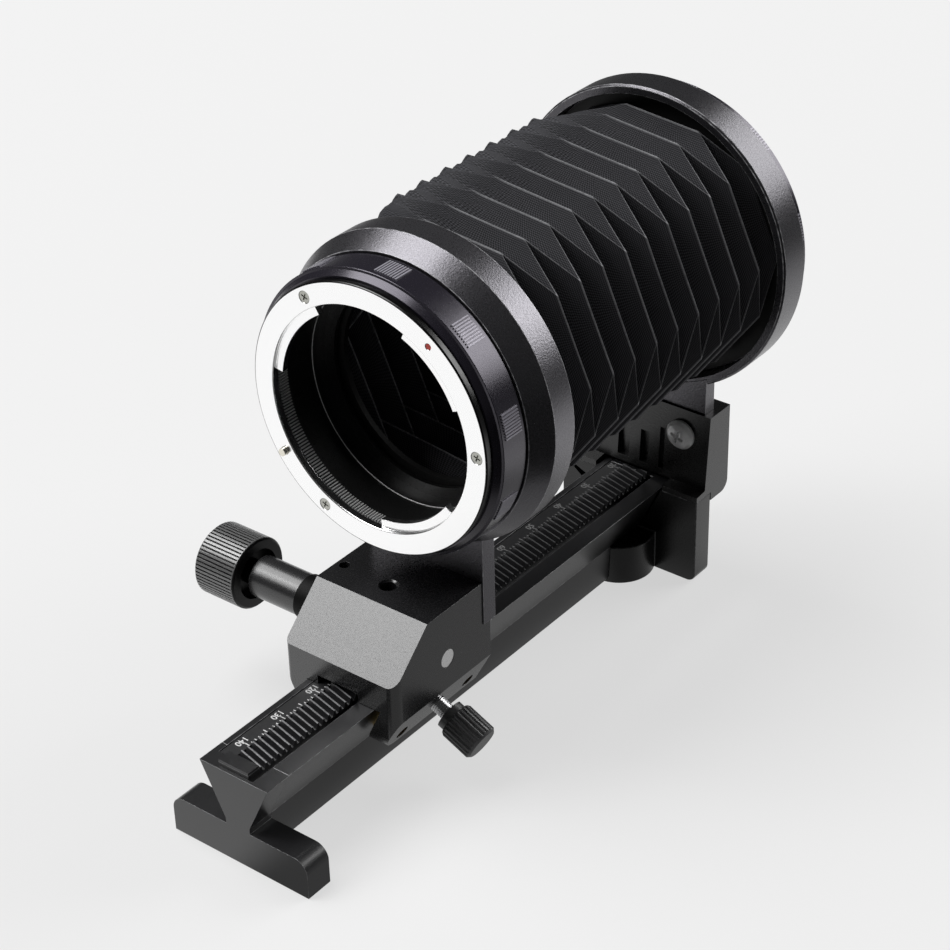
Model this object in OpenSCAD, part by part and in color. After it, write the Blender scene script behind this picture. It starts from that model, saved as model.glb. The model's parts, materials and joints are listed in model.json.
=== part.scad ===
/* [View] */
// piece to draw, or all of them
// smoothness of round faces
$fn = 96; // [48:8:128]

/* [Rail] */
// full length of the dovetail rail
rail_l = 131; // [126:1:136]
// height of the rail's top above the ground
rail_top_z = 21; // [20:0.5:23]
// half width of the rail's top
rail_half = 8.4; // [8.2:0.1:9]
// half width of the web under the dovetail
web_half = 3; // [2.6:0.1:3.1]
// depth of the dovetail below the rail's top
dovetail_h = 11.3; // [11:0.1:12]
// height of the web's lower edge above the ground
web_z = 1.3; // [0.8:0.1:2]

/* [Feet] */
// width of the front foot
foot_w = 33.7; // [30:0.5:36]
// thickness of the front foot along the rail
foot_t = 6.1; // [5:0.1:6.5]
// height of the front foot's arms
foot_arm_h = 8.4; // [7:0.1:9]
// corner radius of the front foot's arms
foot_corner_r = 3; // [2:0.5:4]
// width of the rear foot plate
rear_foot_w = 35.3; // [32:0.5:37]
// thickness of the rear foot plate
rear_foot_t = 5.5; // [4.5:0.1:6]
// radius of the tripod boss
boss_r = 7.9; // [7.5:0.1:9]
// height of the tripod boss
boss_h = 9.2; // [9:0.1:9.5]
// radius of the tripod thread
tripod_r = 3.175; // [3.1:0.005:3.2]
// depth of the tripod thread
tripod_depth = 7; // [6:0.5:7.5]
// wall of the threaded insert
insert_wall = 1.3; // [1:0.1:1.6]

/* [Rack and pinion] */
// transverse tooth module
tooth_m = 0.5112; // [0.5:0.0001:0.52]
// number of pinion teeth
pinion_teeth = 18; // [17:1:19]
// tooth slant of rack and pinion in degrees
helix = 14; // [8:1:15]
// shift of the teeth along the rack, as a share of one tooth
tooth_phase = 0.7; // [0:0.1:0.9]
// slack left between meshing teeth
backlash = 0.26; // [0.2:0.01:0.3]
// half width of the rack bar
rack_half = 3.1; // [2.8:0.1:3.3]
// height of the rack's tooth tips over the rail's top
rack_rise = 0.8; // [0.6:0.1:0.9]
// depth of the recess that holds the rack
recess_d = 1; // [0.9:0.1:1.2]
// length of the plain stop block at the rack's near end
rack_stop_l = 3; // [2.6:0.1:3.4]
// height of the stop block over the rail's top
stop_rise = 1.4; // [1:0.1:1.6]
// how far the stop block laps over the rail on the left
stop_side = 1.1; // [0.6:0.1:1.4]
// distance from the rail's front to the rack's near end
rack_start = 0.8; // [0.6:0.1:1.4]
// radius of the pinion shaft
shaft_r = 1.9; // [1.8:0.05:2.1]

/* [Scale strip] */
// width of the scale strip
scale_w = 3.3; // [3:0.1:3.4]
// thickness of the scale strip
scale_t = 0.3; // [0.2:0.05:0.4]

/* [Carriage] */
// distance from the rail's front to the block's front at rest
block_y = 30.4; // [28:0.1:32]
// length of the block's top part
block_l = 27.1; // [26:0.1:28]
// width of the block
block_w = 27.4; // [26.5:0.1:28.5]
// height of the block's top over the rail's top
block_top = 16.2; // [15.5:0.1:17]
// height of the front edge below the slanted face
block_nose = 6.5; // [6:0.1:7]
// length of the slanted face along the rail
slant_l = 10.3; // [9:0.1:11]
// length of the step behind the block
step_l = 2.3; // [2:0.1:2.5]
// depth of the jaws below the rail's top
jaw_d = 9.5; // [9:0.1:10]
// how far the jaws' outer faces lean in for each unit of depth
jaw_lean = 0.53; // [0.45:0.01:0.6]
// depth below the rail's top where the right jaw's outer face starts
skirt_right = 2; // [1.5:0.1:2.5]
// depth below the rail's top where the left jaw's outer face starts
skirt_left = 0.8; // [0.5:0.1:2.5]
// radius of the block's right front corner
corner_right_r = 2.2; // [1.5:0.1:2.6]
// radius of the block's left front corner
corner_left_r = 1.2; // [0.8:0.1:2.6]
// clearance between rail and carriage
slide_gap = 0.15; // [0.12:0.01:0.3]
// thickness of the gib strip
gib_t = 1; // [0.8:0.1:1.2]

/* [Lock screw and gib screws] */
// radius of the lock screw's thread
lock_r = 1.75; // [1.6:0.05:1.9]
// radius of the lock knob
lock_knob_r = 3.9; // [3.6:0.1:4.2]
// length of the lock knob
lock_knob_l = 7.2; // [6:0.1:8]
// number of grooves round the lock knob
lock_flutes = 24; // [20:1:26]
// radius of the gib set screws
gib_screw_r = 1.45; // [1.2:0.05:1.5]
// distance between the gib set screws
gib_screw_pitch = 20.4; // [19:0.1:21]

/* [Focus knob] */
// radius of the focus knob
knob_r = 7.73; // [7:0.1:8.5]
// length of the focus knob
knob_l = 10.7; // [9:0.1:12]
// number of ridges round the focus knob
knob_ridges = 60; // [48:2:64]
// radius of the shaft tube
tube_r = 4.44; // [4.2:0.02:4.7]
// distance from the block to the focus knob
tube_reach = 21.4; // [19:0.1:23]
// length of the dark collar beside the block
collar_l = 8; // [6:0.1:9]

/* [Front standard] */
// height of the optical axis over the rail's top
axis_h = 55.17; // [54.5:0.1:57]
// thickness of the front upright plate
front_plate_t = 3.7; // [3:0.1:4]
// width of the front upright plate
front_plate_w = 28; // [26:0.5:30]
// radius of the hole in the flange
throat_r = 23; // [22.8:0.1:23.2]
// width of the flange's ring face
flange_w = 4.6; // [4.4:0.1:4.9]
// thickness of the flange
flange_t = 1.6; // [1.5:0.1:1.8]
// distance from the flange's hole to its screws, dot and pin
screw_in = 2.35; // [2.2:0.05:2.4]
// step from the flange's edge out to the black mount ring
mount_step = 1.6; // [1.4:0.1:1.8]
// step from the mount ring out to the front ring's band
band_step = 2.8; // [2.6:0.1:3.4]
// radius of the lens lock pin
pin_r = 0.8; // [0.7:0.05:0.9]
// how far the lens lock pin stands out
pin_out = 0.9; // [0.7:0.1:1.2]

/* [Bellows] */
// clearance between the folds' corners and the front ring's band
fold_in = 2.6; // [2.5:0.1:3.4]
// number of folds along the bellows, inner and outer ones
fold_count = 21; // [17:2:25]
// how far the cloth stands out at the upper left
bulge = 3.6; // [0:0.1:3.8]
// thickness of the cloth, measured across the bellows
cloth = 1; // [0.8:0.1:1.2]
// half angle of the folds on the top side
half_a = 17; // [15:0.5:19]
// half angle of the folds between them
half_b = 18.3; // [16:0.5:20]
// turn of the six-sided cloth about the optical axis
bellows_turn = 5.8; // [4:0.2:8]

/* [Rear standard] */
// distance from the rail's end to the rear ring's front edge
rear_gap = 1.3; // [1:0.1:2]
// step from the front ring's band out to the rear ring's
rear_step = 1.5; // [1.2:0.1:2]
// length of the rear ring
rear_ring_l = 7.3; // [7:0.1:8]
// length of the knurled mount ring behind it
rear_mount_l = 3.6; // [3.2:0.1:4]
// width of the rear upright plate
rear_plate_w = 31.8; // [30:0.5:32]
// thickness of the rear upright plate
rear_plate_t = 3.3; // [3:0.1:3.4]
// width of the saddle
saddle_w = 35.4; // [34:0.2:37]
// gap between the saddle and the rear ring above it
saddle_gap = 3.2; // [2.8:0.1:4]
// distance between the saddle screws
saddle_screw_pitch = 21.4; // [20:0.2:22]

/* [Hidden] */
eps = 0.01;
big = 400;
fit = 0.05;
seat = 0.3;
press = 0.02;
// dovetail slope, as half width lost for each unit of depth
slope = (rail_half - web_half) / dovetail_h;
slope_deg = atan(slope);
rear_foot_y = rail_l - 4;
socket_y = rear_foot_y - 3.4;
rear_foot_top = rail_top_z - 0.4;
under_z = rail_top_z - dovetail_h;
insert_r = tripod_r + insert_wall;
// rack and pinion
pinion_r = pinion_teeth * tooth_m / 2;
tooth_add = tooth_m * 0.978;
tooth_ded = tooth_m * 1.222;
tooth_p = PI * tooth_m;
rack_top = rail_top_z + rack_rise;
pitch_z = rack_top - tooth_add;
shaft_z = pitch_z + pinion_r;
rack_end = rail_l - 1.1;
teeth_start = rack_start + rack_stop_l;
gear_half = rack_half - 0.6;
// the pinion's axis stands over a gap of the rack
shaft_y = block_y + 16.05;
// the teeth are drawn square to their slant, so lengths along the rail shrink
slant = cos(helix);
// half width of the slanted teeth before they are cut to the rack's width
tooth_reach = rack_half * 2 + rail_l * sin(helix);
recess_half_l = rack_half + 0.3;
recess_half_r = rack_half + 1.2;
strip_x = -recess_half_l - scale_w;
strip_start = teeth_start + 0.1;
groove_w = 0.3;
groove_d = 0.5;
// carriage
block_half = block_w / 2;
block_top_z = rail_top_z + block_top;
block_back = block_y + block_l;
step_back = block_back + step_l;
step_z = rail_top_z + block_nose;
jaw_z = rail_top_z - jaw_d;
skirt_z = rail_top_z - skirt_right;
skirt_left_z = rail_top_z - skirt_left;
// half widths of the jaws at their lower edges
skirt_half = block_half - (skirt_z - jaw_z) * jaw_lean;
skirt_left_half = block_half - (skirt_left_z - jaw_z) * jaw_lean;
tunnel_z = rail_top_z + 2.1;
tube_in = 9;
bore_r = shaft_r + fit;
cavity_r = pinion_r + tooth_add + 0.5;
// lock screw and gib screws, square to the dovetail's side
screw_deg = slope_deg;
screw_y = block_y + 15;
lock_z = jaw_z + 5.2;
gib_screw_z = jaw_z + 4.1;
lock_reach = 3.4;
// knob
tube_end = block_half + tube_reach - 1.1;
knob_x = block_half + tube_reach;
knob_end = knob_x + knob_l;
// rings round the optical axis, from the flange's hole outwards
flange_r = throat_r + flange_w;
flange_pcd_r = throat_r + screw_in;
mount_ring_r = flange_r + mount_step;
front_r = mount_ring_r + band_step;
rear_r = front_r + rear_step;
screw_as = [2.5, 122.5, 242.5];
rear_screw_as = [30, 150, 270];
dot_a = 53.5;
pin_a = 213.3;
screw_head_r = 1.2;
screw_shank_r = 0.7;
// front standard, all distances from the rail's front
axis_z = rail_top_z + axis_h;
plate_y = block_back;
ring_back = plate_y + 5.4;
cone_y = ring_back - 6.3;
ring_front = cone_y - 4.65;
flange_y = ring_front - 9.75;
flange_back = flange_y + flange_t;
mount_in_r = flange_pcd_r - pin_r - 0.35;
front_spigot_r = mount_in_r + 1.8;
baffle_in_r = throat_r + 0.5;
frame_y = ring_back - 3.3;
frame_t = 1.2;
cloth_y = frame_y + frame_t;
cavity_front_r = front_r - 1.6;
frame_hole_r = throat_r - 2.7;
bellows_r = front_r - fold_in;
// rear standard
rear_ring_y = rail_l + rear_gap;
rear_ring_end = rear_ring_y + rear_ring_l;
cloth_end = rear_ring_y + 4.1;
fold_step = (cloth_end - cloth_y) / fold_count;
rear_cavity_r = rear_r - 1.9;
rear_mount_r = rear_r - 1.7;
rear_seat_y = rear_ring_end + rear_mount_l;
rear_floor_y = cloth_end + frame_t;
rear_lip_y = rear_floor_y + 1.4;
rear_spigot_r = throat_r + 3.2;
web_y = rear_ring_y - 0.2;
saddle_back = web_y + rear_plate_t + 3.6;
saddle_top_z = axis_z - rear_r - saddle_gap;
saddle_half = saddle_w / 2;
saddle_screw_z = saddle_top_z - 5.9;
saddle_screw_r = 1.5;
saddle_head_r = 3.4;
saddle_front = web_y - 0.6;
saddle_grooves = [[-5.2, 3, 10.5], [0.5, 2.2, 10.3], [5.4, 1.3, 12.5]];
saddle_screw_y = web_y - 1.1;

// everything is drawn from the rail's front, then set over the tripod socket
module set_down() translate([0, -socket_y, 0]) children();

// a turned shape round the optical axis: points are radius and distance
module lathe(pts)
    translate([0, 0, axis_z])
        rotate([-90, 0, 0])
            rotate_extrude() polygon(pts);

// a disc or hole square to the optical axis at an angle on a circle
module on_face(a, r, y0, y1, rr)
    translate([rr * cos(a), y0, axis_z + rr * sin(a)])
        rotate([-90, 0, 0]) cylinder(r = r, h = y1 - y0, $fn = 32);

// a shape in the plane across the rail, run along the rail
module run_y(y0, y1)
    translate([0, y1, 0])
        rotate([90, 0, 0])
            linear_extrude(height = y1 - y0) children();

// a shape in the side view, run across the rail
module run_x(x0, x1)
    translate([x0, 0, 0])
        rotate([90, 0, 90])
            linear_extrude(height = x1 - x0) children();

module bar_x(x0, x1, y, z, r)
    translate([x0, y, z]) rotate([0, 90, 0]) cylinder(r = r, h = x1 - x0);

// outline of the rail across its length, grown by g
module rail_outline(g)
    polygon([[-rail_half - g, rail_top_z],
             [-web_half - g, rail_top_z - dovetail_h],
             [-web_half + 0.4 - g, web_z],
             [web_half - 0.4 + g, web_z],
             [web_half + g, rail_top_z - dovetail_h],
             [rail_half + g, rail_top_z]]);

// recesses along the rail's top for the rack and the scale strip
module top_recess() {
    translate([-recess_half_l, rack_start - fit, rail_top_z - recess_d])
        cube([recess_half_l + recess_half_r, rack_end - rack_start + fit + eps, big]);
    translate([strip_x, strip_start - eps, rail_top_z - scale_t])
        cube([scale_w + eps, rack_end - strip_start + 2 * eps, big]);
    // fine groove beside the strip
    translate([strip_x - groove_w, teeth_start, rail_top_z - groove_d])
        cube([groove_w + eps, rail_l, big]);
}

module rail() {
    color([0.13, 0.13, 0.14])
    difference() {
        run_y(foot_t, rail_l) rail_outline(0);
        top_recess();
        translate([0, socket_y, -eps]) cylinder(r = boss_r + seat, h = under_z + eps);
        translate([-big / 2, socket_y, -eps]) cube([big, big, under_z + eps]);
    }
}

module front_foot() {
    color([0.15, 0.15, 0.16])
    difference() {
        union() {
            run_y(0, foot_t) rail_outline(0);
            run_y(0, foot_t) {
                for (s = [-1, 1])
                    translate([s * (foot_w / 2 - foot_corner_r), foot_arm_h - foot_corner_r])
                        circle(r = foot_corner_r);
                translate([-foot_w / 2 + foot_corner_r, 0])
                    square([foot_w - 2 * foot_corner_r, foot_arm_h]);
                translate([-foot_w / 2, 0])
                    square([foot_w, foot_arm_h - foot_corner_r]);
            }
        }
        top_recess();
    }
}

module rear_foot() {
    c = 2;
    color([0.15, 0.15, 0.16])
    difference() {
        union() {
            run_y(rear_foot_y, rear_foot_y + rear_foot_t) {
                for (s = [-1, 1])
                    translate([s * (rear_foot_w / 2 - c), c]) circle(r = c);
                translate([-rear_foot_w / 2 + c, 0]) square([rear_foot_w - 2 * c, c + eps]);
                translate([-rear_foot_w / 2, c]) square([rear_foot_w, rear_foot_top - c]);
            }
            translate([0, socket_y, 0]) cylinder(r = boss_r, h = boss_h);
            translate([-boss_r * 0.7, socket_y, 0])
                cube([boss_r * 1.4, rear_foot_y - socket_y + 1, boss_h]);
        }
        run_y(0, rail_l + fit)
            polygon([[-rail_half - fit - slope * 2, rail_top_z + 2],
                     [-web_half - fit, under_z], [web_half + fit, under_z],
                     [rail_half + fit + slope * 2, rail_top_z + 2]]);
        translate([0, socket_y, -eps]) cylinder(r = insert_r + fit, h = tripod_depth + 0.6);
    }
}

module tripod_insert() {
    color([0.75, 0.6, 0.3])
    translate([0, socket_y, 0])
    difference() {
        cylinder(r = insert_r, h = tripod_depth + 0.4);
        translate([0, 0, -eps]) cylinder(r = tripod_r, h = tripod_depth + eps);
    }
}

// side outline of the rack's teeth, with y = 0 under the pinion
module rack_outline() {
    n = floor((rack_end - teeth_start) / tooth_p) + 6;
    step = tooth_p * slant;
    y0 = -ceil((shaft_y - teeth_start) / tooth_p + 3) * step;
    half = (tooth_p - backlash) / 4 * slant;
    k = tan(20) * slant;
    base = rail_top_z - recess_d;
    polygon(concat(
        [[y0, base]],
        [for (i = [0 : n]) for (q = [0 : 3])
            [y0 + (i + 0.5 + tooth_phase) * step
                + [-half - tooth_ded * k, -half + tooth_add * k,
                   half - tooth_add * k, half + tooth_ded * k][q],
             pitch_z + [-tooth_ded, tooth_add, tooth_add, -tooth_ded][q]]],
        [[y0 + (n + 1) * step, base]]));
}

module rack() {
    base = rail_top_z - recess_d;
    color([0.2, 0.2, 0.2])
    union() {
        intersection() {
            translate([-rack_half, teeth_start - eps, base])
                cube([2 * rack_half, rack_end - teeth_start, big]);
            translate([0, shaft_y, 0]) rotate([0, 0, -helix])
                run_x(-tooth_reach, tooth_reach) rack_outline();
        }
        translate([-rack_half, teeth_start - eps, base])
            cube([2 * rack_half, rack_end - teeth_start, pitch_z - tooth_ded - base]);
        // plain stop block at the near end, wider over the rail's top
        translate([-rack_half, rack_start, base])
            cube([2 * rack_half, rack_stop_l, recess_d + stop_rise]);
        translate([-rack_half - stop_side, rack_start, rail_top_z])
            cube([2 * rack_half + stop_side, rack_stop_l, stop_rise]);
    }
}

module scale_strip() {
    color([0.1, 0.1, 0.1])
    translate([strip_x, strip_start, rail_top_z - scale_t])
        cube([scale_w, rack_end - 0.1 - strip_start, scale_t]);
}

// half section of the block over the rail, jaws included
module block_section() {
    g = slide_gap;
    top = rail_top_z + 0.12;
    difference() {
        polygon([[-block_half, block_top_z], [-block_half, skirt_left_z],
                 [-skirt_left_half, jaw_z], [skirt_half, jaw_z],
                 [block_half, skirt_z], [block_half, block_top_z]]);
        polygon([[-rail_half - g - slope * 0.12, top],
                 [-rail_half - g + slope * (jaw_d + 1), jaw_z - 1],
                 [rail_half + g + gib_t * 1.1 + 0.2 - slope * (jaw_d + 1), jaw_z - 1],
                 [rail_half + g + gib_t * 1.1 + 0.2 + slope * 0.12, top]]);
        translate([-5.7, rail_top_z - 1]) square([10.1, 3.1]);
    }
}

// moves things so that +Z points square out of the slanted side at height z
module at_screw(dy, z)
    translate([rail_half + slide_gap + gib_t * 1.1 + 0.2
                   - slope * (rail_top_z - z), screw_y + dy, z])
        rotate([0, 90 + screw_deg, 0]) children();

// length of a screw hole through the jaw at height z
function wall_at(z) = (skirt_half + (z - jaw_z) * jaw_lean
    - rail_half - slide_gap - gib_t * 1.1 - 0.2
    + slope * (rail_top_z - z)) * cos(screw_deg) * cos(screw_deg) * 1.02;

// plan of one half of the block, with its front corner rounded to r
module block_half_plan(r) {
    translate([block_half - r, block_y + r]) circle(r = r);
    translate([-eps, block_y]) square([block_half - r + eps, r + eps]);
    translate([-eps, block_y + r]) square([block_half + eps, step_back - block_y - r]);
}

module carriage_block() {
    color([0.62, 0.62, 0.62])
    difference() {
        intersection() {
            run_y(block_y, step_back) block_section();
            // side view with the slanted front and the rear step
            run_x(-block_half - 1, block_half + 1)
                difference() {
                    polygon([[block_y, jaw_z - 1], [block_y, step_z],
                             [block_y + slant_l, block_top_z],
                             [block_back, block_top_z], [block_back, step_z],
                             [step_back, step_z], [step_back, jaw_z - 1]]);
                    difference() {
                        translate([block_y - 1, jaw_z - 1]) square([5, 5]);
                        translate([block_y + 4, jaw_z + 4]) circle(r = 4);
                    }
                }
            // plan view with rounded front corners
            translate([0, 0, -1]) linear_extrude(height = big) {
                block_half_plan(corner_right_r);
                mirror([1, 0]) block_half_plan(corner_left_r);
            }
        }
        // room for the pinion, shaft and tube
        bar_x(-gear_half - 0.5, gear_half + 0.5, shaft_y, shaft_z, cavity_r);
        bar_x(-block_half - 1, block_half + 1, shaft_y, shaft_z, bore_r);
        bar_x(-block_half - 1, -block_half + tube_in, shaft_y, shaft_z, tube_r + fit);
        // holes in the top face
        translate([-0.5, shaft_y, shaft_z + 6])
            cylinder(r = 1.6, h = big, $fn = 48);
        translate([-0.5, shaft_y, block_top_z - 0.4])
            cylinder(r1 = 1.6, r2 = 2.05, h = 0.4 + eps, $fn = 48);
        translate([-block_half + 1.9, shaft_y + 0.3, block_top_z - 4])
            cylinder(r = 1.1, h = big, $fn = 48);
        // lock screw and gib screws
        at_screw(0, lock_z) translate([0, 0, -gib_t]) cylinder(r = lock_r + fit, h = big, $fn = 48);
        for (s = [-1, 1])
            at_screw(s * gib_screw_pitch / 2, gib_screw_z)
                translate([0, 0, -gib_t]) cylinder(r = gib_screw_r + fit, h = big, $fn = 48);
    }
}

module gib() {
    g = slide_gap;
    color([0.7, 0.6, 0.35])
    run_y(block_y + 4.5, step_back - 1)
        polygon([[rail_half + g - slope * 0.6, rail_top_z - 0.6],
                 [rail_half + g + gib_t * 1.1 - slope * 0.6, rail_top_z - 0.6],
                 [rail_half + g + gib_t * 1.1 - slope * (jaw_d - 0.6), jaw_z + 0.6],
                 [rail_half + g - slope * (jaw_d - 0.6), jaw_z + 0.6]]);
}

module gib_screws() {
    color([0.8, 0.62, 0.28])
    for (s = [-1, 1])
        at_screw(s * gib_screw_pitch / 2, gib_screw_z)
            difference() {
                translate([0, 0, -0.15])
                    cylinder(r = gib_screw_r, h = wall_at(gib_screw_z) - 0.25, $fn = 48);
                translate([-0.2, -2, wall_at(gib_screw_z) - 1])
                    cube([0.4, 4, 2]);
            }
}

module lock_screw() {
    color([0.85, 0.85, 0.85])
    at_screw(0, lock_z)
        translate([0, 0, 0.05])
            cylinder(r = lock_r, h = wall_at(lock_z) + lock_reach + 3.5, $fn = 48);
}

module lock_knob() {
    z0 = wall_at(lock_z) + lock_reach;
    color([0.09, 0.09, 0.09])
    at_screw(0, lock_z)
        difference() {
            translate([0, 0, z0]) rotate_extrude()
                polygon([[0, 0], [lock_knob_r - 0.8, 0], [lock_knob_r - 0.8, 1.5],
                         [lock_knob_r - 0.3, 1.6], [lock_knob_r, 2.1],
                         [lock_knob_r, 1.1 + lock_knob_l],
                         [lock_knob_r - 0.6, 1.7 + lock_knob_l], [0, 1.7 + lock_knob_l]]);
            translate([0, 0, z0 - eps]) cylinder(r = lock_r, h = 3.5 + 0.05 + eps, $fn = 48);
            for (i = [0 : lock_flutes - 1])
                rotate([0, 0, i * 360 / lock_flutes])
                    translate([lock_knob_r + 0.12, 0, z0 + 1.4])
                        cylinder(r = 0.38, h = big, $fn = 8);
        }
}

module shaft_tube() {
    color([0.7, 0.7, 0.7])
    difference() {
        bar_x(-tube_end, -block_half + tube_in - 0.3, shaft_y, shaft_z, tube_r);
        bar_x(-tube_end - 1, 0, shaft_y, shaft_z, bore_r);
    }
}

module tube_collar() {
    color([0.08, 0.08, 0.08])
    difference() {
        bar_x(-block_half - collar_l, -block_half - 0.05, shaft_y, shaft_z, tube_r + 0.25);
        bar_x(-block_half - collar_l - 1, 0, shaft_y, shaft_z, tube_r + fit);
    }
}

module pinion_shaft() {
    color([0.8, 0.8, 0.8])
    bar_x(-knob_end + 1.5, block_half - 0.1, shaft_y, shaft_z, shaft_r);
}

// one gear tooth seen along the shaft, pointing down
function involute(rb, t) = [rb * (cos(t) + t * PI / 180 * sin(t)),
                            rb * (sin(t) - t * PI / 180 * cos(t))];
module tooth_outline() {
    rb = pinion_r * cos(20);
    ra = pinion_r + tooth_add + 0.3;
    tm = sqrt(pow(ra / rb, 2) - 1) * 180 / PI;
    inv = (tan(20) - 20 * PI / 180) * 180 / PI;
    half = 90 / pinion_teeth - (backlash / 4) / pinion_r * 180 / PI + inv;
    side = [for (i = [0 : 5]) involute(rb, tm * i / 5)];
    up = [for (p = side) [p[0] * cos(-half) - p[1] * sin(-half),
                          (p[0] * sin(-half) + p[1] * cos(-half)) * slant]];
    low = [for (i = [5 : -1 : 0]) [up[i][0], -up[i][1]]];
    root = pinion_r - tooth_ded - 0.3;
    polygon(concat([[root * cos(half), -root * sin(half) * slant]], up, low,
                   [[root * cos(half), root * sin(half) * slant]]));
}

module pinion_gear() {
    color([0.75, 0.72, 0.6])
    translate([0, shaft_y, shaft_z])
    difference() {
        union() {
            rotate([0, 90, 0])
                translate([0, 0, -gear_half])
                    cylinder(r = pinion_r - tooth_ded, h = 2 * gear_half);
            intersection() {
                rotate([0, 90, 0])
                    translate([0, 0, -gear_half])
                        cylinder(r = pinion_r + tooth_add, h = 2 * gear_half);
                for (i = [0 : pinion_teeth - 1])
                    rotate([(i + tooth_phase) * 360 / pinion_teeth, 0, 0])
                        rotate([0, 0, -helix])
                            rotate([0, 90, 0])
                                translate([0, 0, -gear_half - 1])
                                    linear_extrude(height = 2 * gear_half + 2)
                                        tooth_outline();
            }
        }
        rotate([0, 90, 0]) translate([0, 0, -gear_half - 1])
            cylinder(r = shaft_r + press, h = 2 * gear_half + 2);
    }
}

module focus_knob() {
    color([0.1, 0.1, 0.1])
    translate([-knob_x, shaft_y, shaft_z])
        rotate([0, -90, 0])
            difference() {
                rotate_extrude()
                    polygon([[shaft_r + 0.75, -0.8], [shaft_r + 0.75, 2.4],
                             [tube_r + 1, 2.4], [tube_r + 1, 0], [knob_r - 0.5, 0],
                             [knob_r, 0.5], [knob_r, knob_l - 0.5],
                             [knob_r - 0.5, knob_l], [0, knob_l],
                             [0, knob_l - 1.5], [shaft_r + press, knob_l - 1.5],
                             [shaft_r + press, -0.8]]);
                for (i = [0 : knob_ridges - 1])
                    rotate([0, 0, i * 360 / knob_ridges])
                        translate([knob_r - 0.3, -0.17, 0.6])
                            cube([1, 0.34, knob_l]);
            }
}

module front_standard() {
    color([0.3, 0.3, 0.31])
    union() {
        lathe([[front_spigot_r + fit, ring_front], [front_r - 2.4, ring_front],
               [front_r - 0.1, cone_y], [front_r, cone_y + 0.2],
               [front_r, ring_back - 0.3], [front_r - 0.3, ring_back],
               [cavity_front_r, ring_back], [cavity_front_r, frame_y],
               [mount_in_r, frame_y], [mount_in_r, ring_front + 2.85],
               [front_spigot_r + fit, ring_front + 2.85]]);
        difference() {
            translate([-front_plate_w / 2, plate_y, step_z])
                cube([front_plate_w, front_plate_t, axis_z - step_z]);
            translate([0, plate_y - 1, axis_z]) rotate([-90, 0, 0])
                cylinder(r = front_r - 0.8, h = front_plate_t + 2);
        }
    }
}

module front_mount_ring() {
    color([0.09, 0.09, 0.1])
    difference() {
        union() {
            lathe([[mount_in_r, flange_back], [mount_ring_r - 1.3, flange_back],
                   [mount_ring_r - 0.5, flange_y + 2.9], [mount_ring_r - 0.1, flange_y + 3],
                   [mount_ring_r, flange_y + 3.1], [mount_ring_r, ring_front - 0.4],
                   [mount_ring_r - 0.5, ring_front - 0.4], [mount_ring_r - 0.5, ring_front],
                   [front_spigot_r, ring_front], [front_spigot_r, ring_front + 2.6],
                   [mount_in_r, ring_front + 2.6]]);
            for (k = [0 : 9]) for (i = [-4 : 4])
                translate([0, 0, axis_z])
                    rotate([0, -(13 + 36 * k + i * 1.15), 0])
                        translate([mount_ring_r - 0.3, flange_y + 3.9, -0.15])
                            cube([0.55, ring_front - flange_y - 5.2, 0.3]);
        }
        for (a = screw_as)
            on_face(a, screw_shank_r + fit, flange_y, flange_y + 5, flange_pcd_r);
        on_face(pin_a, pin_r + fit, flange_y, flange_y + 8, flange_pcd_r);
    }
}

// a stretch of ring between two angles, for the flange's lugs
module lug(a0, a1, r0, r1, y0, y1)
    translate([0, 0, axis_z])
        rotate([-90, 0, 0])
            rotate([0, 0, -a1])
                rotate_extrude(angle = a1 - a0) polygon([[r0, y0], [r1, y0], [r1, y1], [r0, y1]]);

module bayonet_flange() {
    c = 0.2;
    color([0.95, 0.95, 0.95])
    difference() {
        union() {
            lathe([[throat_r, flange_y + c], [throat_r + c, flange_y], [flange_r - c, flange_y],
                   [flange_r, flange_y + c], [flange_r, flange_back], [throat_r, flange_back]]);
            for (a = [[121, 172], [23, 67], [-86, -36]])
                lug(a[0], a[1], throat_r - 1.75, throat_r + 1, flange_y + 0.8, flange_y + 2.2);
        }
        for (a = screw_as)
            on_face(a, screw_head_r + fit, flange_y - 1, flange_y + 0.95, flange_pcd_r);
        for (a = screw_as)
            on_face(a, screw_shank_r + fit, flange_y, flange_y + 4, flange_pcd_r);
        on_face(dot_a, 0.65, flange_y - 1, flange_y + 0.4, flange_pcd_r);
        on_face(pin_a, pin_r + fit, flange_y - 1, flange_y + 4, flange_pcd_r);
    }
}

module flange_screws() {
    color([0.7, 0.7, 0.68])
    for (a = screw_as)
        difference() {
            union() {
                on_face(a, screw_head_r, flange_y + 0.1, flange_y + 0.95, flange_pcd_r);
                on_face(a, screw_shank_r, flange_y + 0.9, flange_y + 4.5, flange_pcd_r);
            }
            for (q = [0, 90])
                translate([flange_pcd_r * cos(a), flange_y, axis_z + flange_pcd_r * sin(a)])
                    rotate([0, q + 20, 0]) cube([1.5, 1, 0.3], center = true);
        }
}

module index_dot() {
    color([0.75, 0.1, 0.08])
    on_face(dot_a, 0.6, flange_y + 0.08, flange_y + 0.4, flange_pcd_r);
}

module lock_pin() {
    color([0.85, 0.83, 0.75])
    on_face(pin_a, pin_r, flange_y - pin_out, flange_y + 6, flange_pcd_r);
}

module throat_baffle() {
    color([0.07, 0.07, 0.07])
    lathe([[baffle_in_r, flange_y + 2.5], [mount_in_r - fit, flange_y + 2.5],
           [mount_in_r - fit, frame_y - 1.2], [frame_hole_r + 0.8, frame_y - 1.2],
           [frame_hole_r + 0.8, frame_y - 2], [baffle_in_r, frame_y - 2]]);
}

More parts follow.
